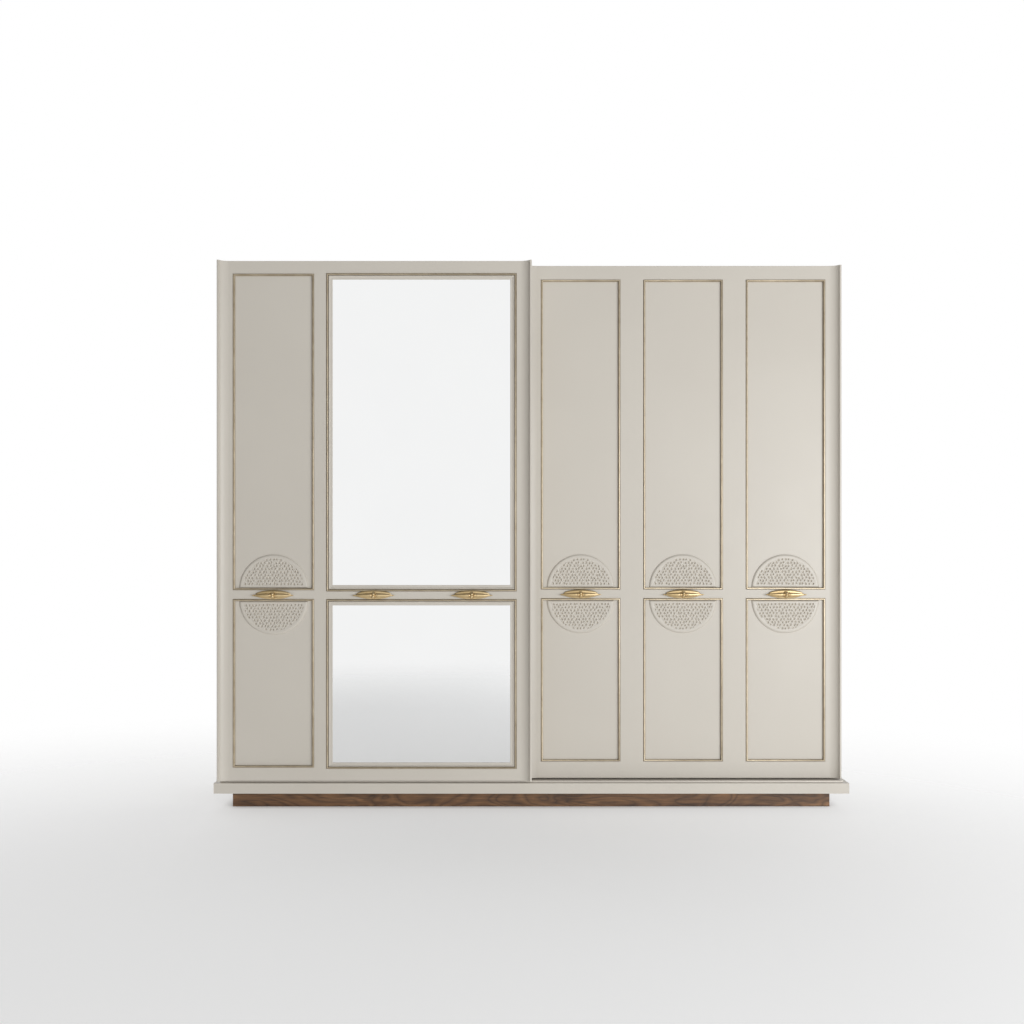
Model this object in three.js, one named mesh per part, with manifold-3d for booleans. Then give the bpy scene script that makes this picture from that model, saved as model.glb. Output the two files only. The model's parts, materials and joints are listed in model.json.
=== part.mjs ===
// Sliding-door armoire: a lacquered carcass on a recessed walnut plinth, closed by two wide
// doors that pass each other on parallel planes. Rollers on a double top rail carry the
// doors, and nylon guides in a floor track steady them. The front (left) door holds a
// narrow panelled column and a mirror column, the rear (right) door three panelled columns.
// Millimetres, +Z up, the front faces -Y. Origin: centre of the footprint, on the floor.
import * as THREE from "three";
import { mergeVertices } from "three/addons/utils/BufferGeometryUtils.js";
import Module from "manifold-3d";

const wasm = await Module();
wasm.setup();

// ---- Driving dimensions --------------------------------------------------------------

const WIDTH = 2550; // of the base board, the widest piece
const DEPTH = 700; // from the handle knobs to the back panels
const GAP = 0.3; // left between pieces that touch

const PLINTH_HEIGHT = 65;
const PLINTH_BOARD = 22;
const PLINTH_INSET = 62; // at the front and the sides
const PLINTH_BACK_INSET = 30;
const BASE_TOP = 106.5;
const BASE_OVERHUNG_BY_DOOR = 12;

const CARCASS_WIDTH = 2480;
const CARCASS_TOP = 2150;
const BOARD = 25; // sides, partition and top
const SHELF_BOARD = 22;
const BACK_BOARD = 8;
const SHELF_SETBACK = 20; // of shelf edges behind the carcass front
const HAT_SHELF_HEIGHT = 1830; // underside
const SHELF_HEIGHTS = { shelf_lower: 540, shelf_middle: 970, shelf_upper: 1400 };
const DIVIDER_LEFT = 640;
const ROD_RADIUS = 12.5;
const ROD_HEIGHT = 1755;
const ROD_FLANGE = { radius: 24, thickness: 5 };

const DOOR_TOP = 2199;
const DOOR_THICKNESS = 38;
const DOOR_SPACING = 77.5; // from the front door's face to the rear door's
const FRAME_THICKNESS = 6; // face frame planted on the core board
const MID_RAIL = {
  panel: { bottom: 846.5, top: 882 },
  mirror: { bottom: 846, top: 877 },
};
const MEDALLION_RADIUS = 137;
const MEDALLION_CENTRE = 5; // above or below the line of the mid rail
const MEDALLION_RELIEF = 2;

const PULL_WIDTH = 46; // coved profile along each vertical door edge
const PULL_LIP = 8;
const PULL_REACH = 20;
const PULL_EDGE_RADIUS = 4;

const TRIM_WIDTH = 8;
const TRIM_REACH = 3; // of the gilt bead in front of the face
const MOULDING_WIDTH = 25;
const MOULDING_REACH = 4;
const MIRROR_THICKNESS = 3;
const MIRROR_LAP = 5; // hidden under the moulding's lip

const HANDLE = { halfLength: 84, radius: 8.5, reach: 28, plateHalfLength: 75, plateHeight: 30 };
const HANDLE_AXIS = 14; // spindle axis in front of the door's face
const HANDLE_PLATE_FRONT = 4;

const ROLLER = { tread: 14, flange: 17, width: 10, groove: 5, axle: 4 };
const RAIL = { height: 9.7, width: 3 };
const TRACK_FLOOR = 2; // thickness of both tracks' base plate
const TRACK_MARGIN = 8; // of the top track's plate in front of and behind its rails
const TRACK_END_SETBACK = 5; // of the top track from the carcass sides
const CHANNEL = { width: 8, rib: 2, height: 3.5 };
const HANGER = { plate: 4, width: 60, foot: 2095, armUnderside: 2203, fromDoorEdge: 150 };
const GUIDE = { plate: 4, width: 50, top: 158, foot: 109.5 };
const REAR_DOOR_RAIL = -180; // Y of the rail that carries the rear door
const FRONT_DOOR_RAIL = -145; // Y of the rail that carries the front door

// Columns of each door, in the door's own frame, from its vertical centre line.
const FRONT_DOOR = {
  name: "front_door",
  left: -1255,
  right: 1,
  bottom: 119.5,
  face: HANDLE.reach - DEPTH / 2,
  rail: FRONT_DOOR_RAIL,
  overRearDoor: true,
  columns: [
    { kind: "panel", name: "panel", left: -568, right: -243, bottom: 172, top: 2148, handles: [0.5] },
    { kind: "mirror", left: -194, right: 567.5, bottom: 167, top: 2150, handles: [0.25, 0.765] },
  ],
};
const REAR_DOOR = {
  name: "rear_door",
  left: -22,
  right: 1258,
  bottom: 115,
  face: FRONT_DOOR.face + DOOR_SPACING,
  rail: REAR_DOOR_RAIL,
  overRearDoor: false,
  columns: [-417, 0, 417].map((centre, index) => ({
    kind: "panel",
    name: `panel_${index + 1}`,
    left: centre - 161.7,
    right: centre + 161.7,
    bottom: 182,
    top: 2143,
    handles: [0.5],
  })),
};

// Derived places
const BACK_Y = DEPTH / 2;
const BASE_FRONT_Y = FRONT_DOOR.face + BASE_OVERHUNG_BY_DOOR;
const CARCASS_FRONT_Y = -190;
const CARCASS_BACK_Y = BACK_Y - BACK_BOARD - GAP;
const FLOOR_TOP = BASE_TOP + GAP;
const UNDER_TOP = CARCASS_TOP - BOARD - GAP;
const RAIL_FLOOR = CARCASS_TOP + GAP;
const ROLLER_AXIS_Z = RAIL_FLOOR + TRACK_FLOOR + RAIL.height + ROLLER.tread + GAP;

// ---- Materials -----------------------------------------------------------------------

function finish(color, roughness, metalness) {
  return new THREE.MeshStandardMaterial({ color, roughness, metalness });
}

const creamLacquer = finish(0xd8d0c2, 0.42, 0);
const boardLaminate = finish(0xd9d4ca, 0.6, 0);
const walnut = finish(0x5b3f2d, 0.5, 0);
const gilt = finish(0xc2a15c, 0.35, 0.9);
const silveredGlass = finish(0xf2f4f4, 0.03, 1);
const aluminium = finish(0xb9bbbd, 0.4, 0.9);
const steel = finish(0x8f9194, 0.45, 0.9);
const nylon = finish(0x2a2a2b, 0.6, 0);

// ---- Shape helpers -------------------------------------------------------------------

function box([x0, x1], [y0, y1], [z0, z1]) {
  const geometry = new THREE.BoxGeometry(x1 - x0, y1 - y0, z1 - z0);
  return geometry.translate((x0 + x1) / 2, (y0 + y1) / 2, (z0 + z1) / 2);
}

function outline(points) {
  return new THREE.Shape(points.map(([u, v]) => new THREE.Vector2(u, v)));
}

function extrudeAlongZ(shape, [z0, z1]) {
  const geometry = new THREE.ExtrudeGeometry(shape, { depth: z1 - z0, bevelEnabled: false });
  return geometry.translate(0, 0, z0);
}

// The outline is drawn in X and Z.
function extrudeAlongY(shape, [y0, y1]) {
  return extrudeAlongZ(shape, [-y1, -y0]).rotateX(Math.PI / 2);
}

// The outline is drawn in Y and Z.
function extrudeAlongX(shape, span) {
  const turn = new THREE.Matrix4().makeBasis(
    new THREE.Vector3(0, 1, 0),
    new THREE.Vector3(0, 0, 1),
    new THREE.Vector3(1, 0, 0),
  );
  return extrudeAlongZ(shape, span).applyMatrix4(turn);
}

// A turned piece on the Y axis; profile points are [radius, y].
function turnedOnY(profile, segments) {
  const points = profile.map(([radius, y]) => new THREE.Vector2(radius, y));
  return new THREE.LatheGeometry(points, segments);
}

// A turned piece on the X axis; profile points are [radius, x].
function turnedOnX(profile, segments) {
  return turnedOnY(profile, segments).rotateZ(-Math.PI / 2);
}

// Sweeps a closed section round a rectangle with mitred corners. Section points are
// [distance inside the rectangle, y], running inwards along the front, outwards behind.
function mitredRing(section, [x0, x1], [z0, z1]) {
  const positions = section.flatMap(([inset, y]) => [
    x0 + inset, y, z0 + inset,
    x1 - inset, y, z0 + inset,
    x1 - inset, y, z1 - inset,
    x0 + inset, y, z1 - inset,
  ]);
  const corners = 4;
  const triangles = [];
  for (let i = 0; i < section.length; i += 1) {
    const next = (i + 1) % section.length;
    for (let corner = 0; corner < corners; corner += 1) {
      const after = (corner + 1) % corners;
      const [a, b] = [i * corners + corner, i * corners + after];
      const [c, d] = [next * corners + after, next * corners + corner];
      triangles.push(a, b, c, a, c, d);
    }
  }
  const geometry = new THREE.BufferGeometry();
  geometry.setAttribute("position", new THREE.Float32BufferAttribute(positions, 3));
  geometry.setIndex(triangles);
  geometry.computeVertexNormals();
  return geometry;
}

function toSolid(geometry) {
  const bare = geometry.clone();
  bare.deleteAttribute("normal");
  bare.deleteAttribute("uv");
  const merged = mergeVertices(bare);
  return new wasm.Manifold(new wasm.Mesh({
    numProp: 3,
    vertProperties: Float32Array.from(merged.getAttribute("position").array),
    triVerts: Uint32Array.from(merged.index.array),
  }));
}

function toGeometry(solid) {
  const mesh = solid.getMesh();
  const geometry = new THREE.BufferGeometry();
  geometry.setAttribute("position", new THREE.BufferAttribute(mesh.vertProperties, 3));
  geometry.setIndex(new THREE.BufferAttribute(mesh.triVerts, 1));
  geometry.computeVertexNormals();
  return geometry;
}

function join(geometries) {
  const solids = geometries.map(toSolid);
  return toGeometry(solids.reduce((whole, solid) => whole.add(solid)));
}

function cut(body, cutters) {
  const solids = cutters.map(toSolid);
  return toGeometry(solids.reduce((rest, solid) => rest.subtract(solid), toSolid(body)));
}

function addPiece(group, name, geometry, material) {
  const mesh = new THREE.Mesh(geometry, material);
  mesh.name = name;
  group.add(mesh);
  return mesh;
}

// ---- Plinth and base -----------------------------------------------------------------

function buildPlinth() {
  const group = new THREE.Group();
  const halfWidth = WIDTH / 2 - PLINTH_INSET;
  const front = BASE_FRONT_Y + PLINTH_INSET;
  const back = BACK_Y - PLINTH_BACK_INSET;
  const height = [0, PLINTH_HEIGHT];
  const between = [front + PLINTH_BOARD + GAP, back - PLINTH_BOARD - GAP];
  const along = [-halfWidth, halfWidth];
  addPiece(group, "plinth_front", box(along, [front, front + PLINTH_BOARD], height), walnut);
  addPiece(group, "plinth_back", box(along, [back - PLINTH_BOARD, back], height), walnut);
  const crossBoards = {
    plinth_left: -halfWidth + PLINTH_BOARD / 2,
    plinth_center: 0,
    plinth_right: halfWidth - PLINTH_BOARD / 2,
  };
  for (const [name, x] of Object.entries(crossBoards)) {
    const span = [x - PLINTH_BOARD / 2, x + PLINTH_BOARD / 2];
    addPiece(group, name, box(span, between, height), walnut);
  }
  return group;
}

function buildBaseBoard() {
  const group = new THREE.Group();
  const board = box([-WIDTH / 2, WIDTH / 2], [BASE_FRONT_Y, BACK_Y], [PLINTH_HEIGHT + GAP, BASE_TOP]);
  addPiece(group, "base_board", board, creamLacquer);
  return group;
}

// ---- Carcass -------------------------------------------------------------------------

function buildCarcass() {
  const group = new THREE.Group();
  const half = CARCASS_WIDTH / 2;
  const depth = [CARCASS_FRONT_Y, CARCASS_BACK_Y];
  const uprights = [FLOOR_TOP, UNDER_TOP];
  addPiece(group, "side_panel_left", box([-half, -half + BOARD], depth, uprights), creamLacquer);
  addPiece(group, "side_panel_right", box([half - BOARD, half], depth, uprights), creamLacquer);
  addPiece(group, "center_partition", box([-BOARD / 2, BOARD / 2], depth, uprights), boardLaminate);
  addPiece(group, "top_panel", box([-half, half], depth, [CARCASS_TOP - BOARD, CARCASS_TOP]), creamLacquer);
  const backSpan = [BACK_Y - BACK_BOARD, BACK_Y];
  const backHeight = [FLOOR_TOP, CARCASS_TOP];
  addPiece(group, "back_panel_left", box([-half, -GAP / 2], backSpan, backHeight), boardLaminate);
  addPiece(group, "back_panel_right", box([GAP / 2, half], backSpan, backHeight), boardLaminate);
  return group;
}

// A hanging rod with a flange at each end, between two uprights.
function hangingRod([x0, x1]) {
  const { radius, thickness } = ROD_FLANGE;
  const profile = [
    [0, x0],
    [radius, x0],
    [radius, x0 + thickness],
    [ROD_RADIUS, x0 + thickness],
    [ROD_RADIUS, x1 - thickness],
    [radius, x1 - thickness],
    [radius, x1],
    [0, x1],
  ];
  return turnedOnX(profile, 16);
}

function buildInterior() {
  const group = new THREE.Group();
  const outer = CARCASS_WIDTH / 2 - BOARD - GAP;
  const inner = BOARD / 2 + GAP;
  const dividerRight = DIVIDER_LEFT + BOARD;
  const depth = [CARCASS_FRONT_Y + SHELF_SETBACK, CARCASS_BACK_Y - GAP];
  const shelf = (span, z) => box(span, depth, [z, z + SHELF_BOARD]);
  addPiece(group, "hat_shelf_left", shelf([-outer, -inner], HAT_SHELF_HEIGHT), boardLaminate);
  addPiece(group, "hat_shelf_right", shelf([inner, outer], HAT_SHELF_HEIGHT), boardLaminate);
  const dividerHeight = [FLOOR_TOP, HAT_SHELF_HEIGHT - GAP];
  addPiece(group, "shelf_divider", box([DIVIDER_LEFT, dividerRight], depth, dividerHeight), boardLaminate);
  for (const [name, z] of Object.entries(SHELF_HEIGHTS)) {
    addPiece(group, name, shelf([dividerRight + GAP, outer], z), boardLaminate);
  }
  const rods = {
    hanging_rod_left: [-outer, -inner],
    hanging_rod_right: [inner, DIVIDER_LEFT - GAP],
  };
  const middleOfDepth = (CARCASS_FRONT_Y + CARCASS_BACK_Y) / 2;
  for (const [name, span] of Object.entries(rods)) {
    const rod = addPiece(group, name, hangingRod(span), aluminium);
    rod.position.set(0, middleOfDepth, ROD_HEIGHT);
  }
  return group;
}

// ---- Tracks --------------------------------------------------------------------------

// Two grooves for the doors' guides, between low ribs on one plate.
function bottomTrack() {
  const guideOffset = DOOR_THICKNESS + GAP + GUIDE.plate / 2;
  const channels = [FRONT_DOOR.face + guideOffset, REAR_DOOR.face + guideOffset];
  const halfOutside = CHANNEL.width / 2 + CHANNEL.rib;
  const floor = FLOOR_TOP + TRACK_FLOOR;
  const ribTop = floor + CHANNEL.height;
  const points = [
    [channels[0] - halfOutside, FLOOR_TOP],
    [channels[1] + halfOutside, FLOOR_TOP],
  ];
  for (const y of channels.toReversed()) {
    points.push(
      [y + halfOutside, ribTop],
      [y + CHANNEL.width / 2, ribTop],
      [y + CHANNEL.width / 2, floor],
      [y - CHANNEL.width / 2, floor],
      [y - CHANNEL.width / 2, ribTop],
      [y - halfOutside, ribTop],
    );
    if (y === channels[1]) {
      points.push([y - halfOutside, floor], [channels[0] + halfOutside, floor]);
    }
  }
  return extrudeAlongX(outline(points), [FRONT_DOOR.left, REAR_DOOR.right]);
}

// Two upright rails, one behind the other, on one plate on the carcass top.
function topTrack() {
  const floor = RAIL_FLOOR + TRACK_FLOOR;
  const railTop = floor + RAIL.height;
  const half = RAIL.width / 2;
  const front = REAR_DOOR_RAIL - TRACK_MARGIN;
  const back = FRONT_DOOR_RAIL + TRACK_MARGIN;
  const points = [[front, RAIL_FLOOR], [back, RAIL_FLOOR], [back, floor]];
  for (const y of [FRONT_DOOR_RAIL, REAR_DOOR_RAIL]) {
    points.push([y + half, floor], [y + half, railTop], [y - half, railTop], [y - half, floor]);
  }
  points.push([front, floor]);
  const halfLength = CARCASS_WIDTH / 2 - TRACK_END_SETBACK;
  return extrudeAlongX(outline(points), [-halfLength, halfLength]);
}

function buildTracks() {
  const group = new THREE.Group();
  addPiece(group, "bottom_track", bottomTrack(), aluminium);
  addPiece(group, "top_track", topTrack(), aluminium);
  return group;
}

// ---- Door pieces, in a door's own frame: x = 0 on its centre line, y = 0 on its face ----

// The upper and lower openings of one column.
function openingsOf({ kind, left, right, bottom, top }) {
  const rail = MID_RAIL[kind];
  return {
    upper: { left, right, bottom: rail.top, top },
    lower: { left, right, bottom, top: rail.bottom },
  };
}

function faceFrame(door, span) {
  const board = box(span, [0, FRAME_THICKNESS], [door.bottom, DOOR_TOP]);
  const openings = door.columns.flatMap((column) => Object.values(openingsOf(column)));
  const cutters = openings.map(({ left, right, bottom, top }) =>
    box([left, right], [-1, FRAME_THICKNESS + 1], [bottom, top]));
  return cut(board, cutters);
}

// A low half disc on the field, its flat edge just clear of the trim beside the mid rail.
function medallionPad(column, half) {
  const upwards = half === "upper" ? 1 : -1;
  const line = half === "upper" ? MID_RAIL.panel.top : MID_RAIL.panel.bottom;
  const centreZ = line + upwards * MEDALLION_CENTRE;
  const flatEdge = TRIM_WIDTH + 2 * GAP - MEDALLION_CENTRE;
  const lowest = Math.asin(flatEdge / MEDALLION_RADIUS);
  const arc = new THREE.Path().absarc(0, 0, MEDALLION_RADIUS, lowest, Math.PI - lowest);
  const centreX = (column.left + column.right) / 2;
  const points = arc.getPoints(24).map((p) => [centreX + p.x, centreZ + upwards * p.y]);
  const field = FRAME_THICKNESS + GAP;
  return extrudeAlongY(outline(points), [field - MEDALLION_RELIEF, field + 1]);
}

function coreBoard(door, span) {
  const board = box(span, [FRAME_THICKNESS + GAP, DOOR_THICKNESS], [door.bottom, DOOR_TOP]);
  const panels = door.columns.filter((column) => column.kind === "panel");
  const pads = panels.flatMap((column) => ["upper", "lower"].map((half) => medallionPad(column, half)));
  return join([board, ...pads]);
}

// The coved profile along a door's edge: a raised lip that sweeps down into the face.
// side is -1 for the left edge, 1 for the right edge.
function pullProfile(door, side) {
  const halfWidth = (door.right - door.left) / 2;
  const section = new THREE.Shape();
  section.moveTo(0, DOOR_THICKNESS);
  section.lineTo(0, PULL_EDGE_RADIUS - PULL_REACH);
  section.absarc(PULL_EDGE_RADIUS, PULL_EDGE_RADIUS - PULL_REACH, PULL_EDGE_RADIUS, Math.PI, 1.5 * Math.PI);
  section.lineTo(PULL_LIP, -PULL_REACH);
  const coveWidth = PULL_WIDTH - PULL_LIP;
  section.absellipse(PULL_WIDTH, -PULL_REACH, coveWidth, PULL_REACH, Math.PI, Math.PI / 2, true);
  section.lineTo(PULL_WIDTH, DOOR_THICKNESS);
  const points = section.getPoints(8).map((p) => [side * (halfWidth - p.x), p.y]);
  return extrudeAlongZ(outline(points), [door.bottom, DOOR_TOP]);
}

// A gilt bead that lines an opening and stands proud of the face.
function panelTrim({ left, right, bottom, top }) {
  const crest = -TRIM_REACH;
  const shoulder = crest + 3;
  const section = [
    [GAP, shoulder],
    [GAP + 3, crest],
    [GAP + TRIM_WIDTH - 3, crest],
    [GAP + TRIM_WIDTH, shoulder],
    [GAP + TRIM_WIDTH, FRAME_THICKNESS],
    [GAP, FRAME_THICKNESS],
  ];
  return mitredRing(section, [left, right], [bottom, top]);
}

// A stepped moulding that laps over the mirror's edge.
function mirrorMoulding({ left, right, bottom, top }) {
  const mirrorFace = FRAME_THICKNESS - MIRROR_THICKNESS;
  const rebate = MOULDING_WIDTH - MIRROR_LAP;
  const section = [
    [GAP, -1],
    [3, -MOULDING_REACH],
    [8, -MOULDING_REACH],
    [11, -0.5],
    [20, 0.5],
    [MOULDING_WIDTH, mirrorFace - GAP - 0.8],
    [MOULDING_WIDTH, mirrorFace - GAP],
    [rebate, mirrorFace - GAP],
    [rebate, FRAME_THICKNESS],
    [GAP, FRAME_THICKNESS],
  ];
  return mitredRing(section, [left, right], [bottom, top]);
}

function mirrorPane({ left, right, bottom, top }) {
  const inset = MOULDING_WIDTH - MIRROR_LAP + GAP;
  const depth = [FRAME_THICKNESS - MIRROR_THICKNESS, FRAME_THICKNESS];
  return box([left + inset, right - inset], depth, [bottom + inset, top - inset]);
}

// A tapering spindle with an oval knob at its middle, on a boat-shaped plate.
function handle() {
  const { halfLength, radius, reach, plateHalfLength, plateHeight } = HANDLE;
  const tipRadius = 1.8;
  const bodyHalf = halfLength - 8;
  const profile = [[0, -halfLength]];
  const steps = 12;
  for (let i = 0; i <= steps; i += 1) {
    const x = bodyHalf * (2 * i / steps - 1);
    const swell = Math.cos((Math.PI / 2) * (x / bodyHalf)) ** 1.3;
    profile.push([tipRadius + (radius - tipRadius) * swell, x]);
  }
  profile.push([0, halfLength]);
  const spindle = turnedOnX(profile, 10).translate(0, -HANDLE_AXIS, 0);

  const knobReach = reach - HANDLE_AXIS;
  const knob = new THREE.SphereGeometry(1, 12, 8).scale(9.5, knobReach, 15).translate(0, -HANDLE_AXIS, 0);

  const boat = new THREE.Shape();
  boat.moveTo(-plateHalfLength, 0);
  boat.quadraticCurveTo(0, -plateHeight, plateHalfLength, 0);
  boat.quadraticCurveTo(0, plateHeight, -plateHalfLength, 0);
  const plate = extrudeAlongY(boat, [-HANDLE_PLATE_FRONT, -GAP]);

  const postX = 30;
  const posts = [-postX, postX].map((x) => {
    const length = HANDLE_AXIS - 1;
    return new THREE.CylinderGeometry(3.5, 3.5, length, 10).translate(x, -1 - length / 2, 0);
  });
  return join([spindle, knob, plate, ...posts]);
}

// A steel bracket on the back of the door, with the roller's stub axle. The front door's
// bracket reaches over the top of the rear door to the farther rail.
function hanger(door) {
  const plateFront = DOOR_THICKNESS + GAP;
  const plateBack = plateFront + HANGER.plate;
  const railY = door.rail - door.face;
  const wheelFront = railY - ROLLER.width / 2;
  const across = [-HANGER.width / 2, HANGER.width / 2];
  const pieces = [];
  let stubStart = plateBack - 1;
  if (door.overRearDoor) {
    const armTop = HANGER.armUnderside + HANGER.plate;
    const dropBack = wheelFront - 6;
    const dropFront = dropBack - HANGER.plate;
    const dropFoot = ROLLER_AXIS_Z - 12;
    const section = [
      [plateFront, HANGER.foot],
      [plateBack, HANGER.foot],
      [plateBack, HANGER.armUnderside],
      [dropFront, HANGER.armUnderside],
      [dropFront, dropFoot],
      [dropBack, dropFoot],
      [dropBack, armTop],
      [plateFront, armTop],
    ];
    pieces.push(extrudeAlongX(outline(section), across));
    stubStart = dropBack - 1;
  } else {
    pieces.push(box(across, [plateFront, plateBack], [HANGER.foot, ROLLER_AXIS_Z + 14]));
  }
  const stubEnd = railY + ROLLER.width / 2 + 0.5;
  const head = 2;
  const stub = turnedOnY([
    [0, stubStart],
    [ROLLER.axle, stubStart],
    [ROLLER.axle, stubEnd],
    [ROLLER.axle + 2.5, stubEnd],
    [ROLLER.axle + 2.5, stubEnd + head],
    [0, stubEnd + head],
  ], 16).translate(0, 0, ROLLER_AXIS_Z);
  return join([...pieces, stub]);
}

// A grooved roller on its stub axle.
function roller() {
  const running = 0.15;
  const half = ROLLER.width / 2;
  const halfGroove = ROLLER.groove / 2;
  const profile = [
    [ROLLER.axle + running, -half],
    [ROLLER.flange, -half],
    [ROLLER.flange, -halfGroove - 0.8],
    [ROLLER.tread, -halfGroove],
    [ROLLER.tread, halfGroove],
    [ROLLER.flange, halfGroove + 0.8],
    [ROLLER.flange, half],
    [ROLLER.axle + running, half],
    [ROLLER.axle + running, -half],
  ];
  return turnedOnY(profile, 20);
}

// A nylon fin that runs in the floor track, on a plate on the back of the door.
function guide() {
  const plateFront = DOOR_THICKNESS + GAP;
  const section = [
    [plateFront, GUIDE.foot],
    [plateFront + GUIDE.plate, GUIDE.foot],
    [plateFront + GUIDE.plate, GUIDE.top],
    [plateFront, GUIDE.top],
  ];
  return extrudeAlongX(outline(section), [-GUIDE.width / 2, GUIDE.width / 2]);
}

// ---- Doors ---------------------------------------------------------------------------

function addColumn(group, door, column) {
  for (const [half, opening] of Object.entries(openingsOf(column))) {
    if (column.kind === "panel") {
      addPiece(group, `${door.name}_${column.name}_trim_${half}`, panelTrim(opening), gilt);
    } else {
      addPiece(group, `${door.name}_moulding_${half}`, mirrorMoulding(opening), creamLacquer);
      addPiece(group, `${door.name}_mirror_${half}`, mirrorPane(opening), silveredGlass);
    }
  }
}

function addHandles(group, door) {
  const centres = door.columns.flatMap(({ left, right, handles }) =>
    handles.map((share) => left + share * (right - left)));
  centres.forEach((x, index) => {
    const piece = addPiece(group, `${door.name}_handle_${index + 1}`, handle(), gilt);
    piece.position.set(x, 0, (MID_RAIL.mirror.bottom + MID_RAIL.mirror.top) / 2);
  });
}

function addRunningGear(group, door, halfWidth) {
  const offset = halfWidth - HANGER.fromDoorEdge;
  for (const [side, x] of [["left", -offset], ["right", offset]]) {
    const bracket = addPiece(group, `${door.name}_hanger_${side}`, hanger(door), steel);
    bracket.position.setX(x);
    const wheel = addPiece(group, `${door.name}_roller_${side}`, roller(), nylon);
    wheel.position.set(x, door.rail - door.face, ROLLER_AXIS_Z);
    const fin = addPiece(group, `${door.name}_guide_${side}`, guide(), nylon);
    fin.position.setX(x);
  }
}

function buildDoor(door) {
  const group = new THREE.Group();
  const halfWidth = (door.right - door.left) / 2;
  const inside = halfWidth - PULL_WIDTH - GAP;
  addPiece(group, `${door.name}_core`, coreBoard(door, [-inside, inside]), creamLacquer);
  addPiece(group, `${door.name}_frame`, faceFrame(door, [-inside, inside]), creamLacquer);
  addPiece(group, `${door.name}_pull_left`, pullProfile(door, -1), creamLacquer);
  addPiece(group, `${door.name}_pull_right`, pullProfile(door, 1), creamLacquer);
  for (const column of door.columns) {
    addColumn(group, door, column);
  }
  addHandles(group, door);
  addRunningGear(group, door, halfWidth);
  group.position.set((door.left + door.right) / 2, door.face, 0);
  return group;
}

const armoire = new THREE.Group();
armoire.add(buildPlinth(), buildBaseBoard(), buildCarcass(), buildInterior(), buildTracks());
armoire.add(buildDoor(FRONT_DOOR), buildDoor(REAR_DOOR));

export default armoire;
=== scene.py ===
"""Looks of the sliding-door armoire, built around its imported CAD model.

Every size is in metres in the CAD model's own frame: +X right, -Y out of the doors, +Z up.
Places come from the CAD nodes' boxes, so the detailed pieces fit the frame they ride on.
"""

import json
import math
import random

import bmesh
import bpy
import numpy as np
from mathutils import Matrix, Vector


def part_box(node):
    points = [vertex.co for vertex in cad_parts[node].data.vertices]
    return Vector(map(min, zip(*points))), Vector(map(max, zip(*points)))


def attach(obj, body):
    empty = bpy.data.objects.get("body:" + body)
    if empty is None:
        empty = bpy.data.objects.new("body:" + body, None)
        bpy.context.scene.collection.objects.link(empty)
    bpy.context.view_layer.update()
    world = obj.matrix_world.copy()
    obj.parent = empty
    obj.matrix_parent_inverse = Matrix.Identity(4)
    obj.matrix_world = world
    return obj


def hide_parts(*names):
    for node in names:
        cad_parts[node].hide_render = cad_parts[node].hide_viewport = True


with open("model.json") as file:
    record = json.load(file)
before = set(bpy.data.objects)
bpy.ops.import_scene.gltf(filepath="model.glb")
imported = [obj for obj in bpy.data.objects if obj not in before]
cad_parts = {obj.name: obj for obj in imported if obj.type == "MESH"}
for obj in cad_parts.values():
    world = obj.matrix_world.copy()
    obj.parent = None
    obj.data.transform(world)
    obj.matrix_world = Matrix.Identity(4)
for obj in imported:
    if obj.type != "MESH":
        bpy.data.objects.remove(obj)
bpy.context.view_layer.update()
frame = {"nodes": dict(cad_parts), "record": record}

MM = 0.001
GAP = 0.3 * MM  # the clearance that the CAD keeps between pieces that touch
DOORS = ("front_door", "rear_door")

# Face frame
SOFT_EDGE = 1.2 * MM  # round the openings
OUTER_EASE = 1 * MM  # along the top and bottom

# Edge pull
LIP_WIDTH = 8 * MM
LIP_RADIUS = 4 * MM
LIP_INNER_RADIUS = 1.5 * MM  # beside the cove
COVE_SLACK = 1.1  # 1 is an elliptical cove, and 2 a straight slope

# Gilt bead and mirror moulding
BEAD_WIDTH = 8 * MM
BEAD_BASE = 0.8 * MM  # behind the face, where the half round meets the bead's straight sides
MOULDING_WIDTH = 25 * MM

# Camera
CAMERA_X = -0.078
CAMERA_HEIGHT = 1.043
CAMERA_DISTANCE = 4.45  # in front of the front door's face
LENS = 39.11  # focal length in millimetres on a sensor 36 mm wide
LENS_SHIFT = 0.037

# Floor
FLOOR_HALF = 9.0
FLOOR_COLOR = (0.64, 0.64, 0.64)
# The floor's glow is painted light, and CONTACT_SHADE is the reach of the painted contact shadow in it.
FLOOR_GLOW = 0.355
FLOOR_MIDDLE = (-0.45, -2.0, 0.0)
FLOOR_SOLID, FLOOR_CLEAR = 0.9, 4.6  # distances from the middle between which it fades
CONTACT_SHADE = 60 * MM

# Light
SKY_OVERHEAD = 0.20  # what is left of the surround's light from each dimmed direction
SKY_LEFT = 0.08
SKY_RIGHT = 0.22
KEY_PLACE = (3.7, -5.0, 1.05)
KEY_TARGET = (0.0, -0.3, 1.0)
KEY_SIZE = (4.0, 2.1)
KEY_POWER = 178.0
KEY_COLOR = (0.97, 0.985, 1.0)

# Handle
PLATE_HEIGHT = 36 * MM
PLATE_SHARE = 0.84  # of the handle's length
PLATE_THICKNESS = 4 * MM
PLATE_STANDOFF = 4.8 * MM  # keeps the plate clear of the beads beside the mid rail
PLATE_RAISE = 2.5 * MM
SPINDLE_RADIUS = 9.2 * MM
POST_OFFSET = 30 * MM
KNOB_HALF_WIDTH = 9 * MM
KNOB_HALF_HEIGHT = 15 * MM

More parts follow.
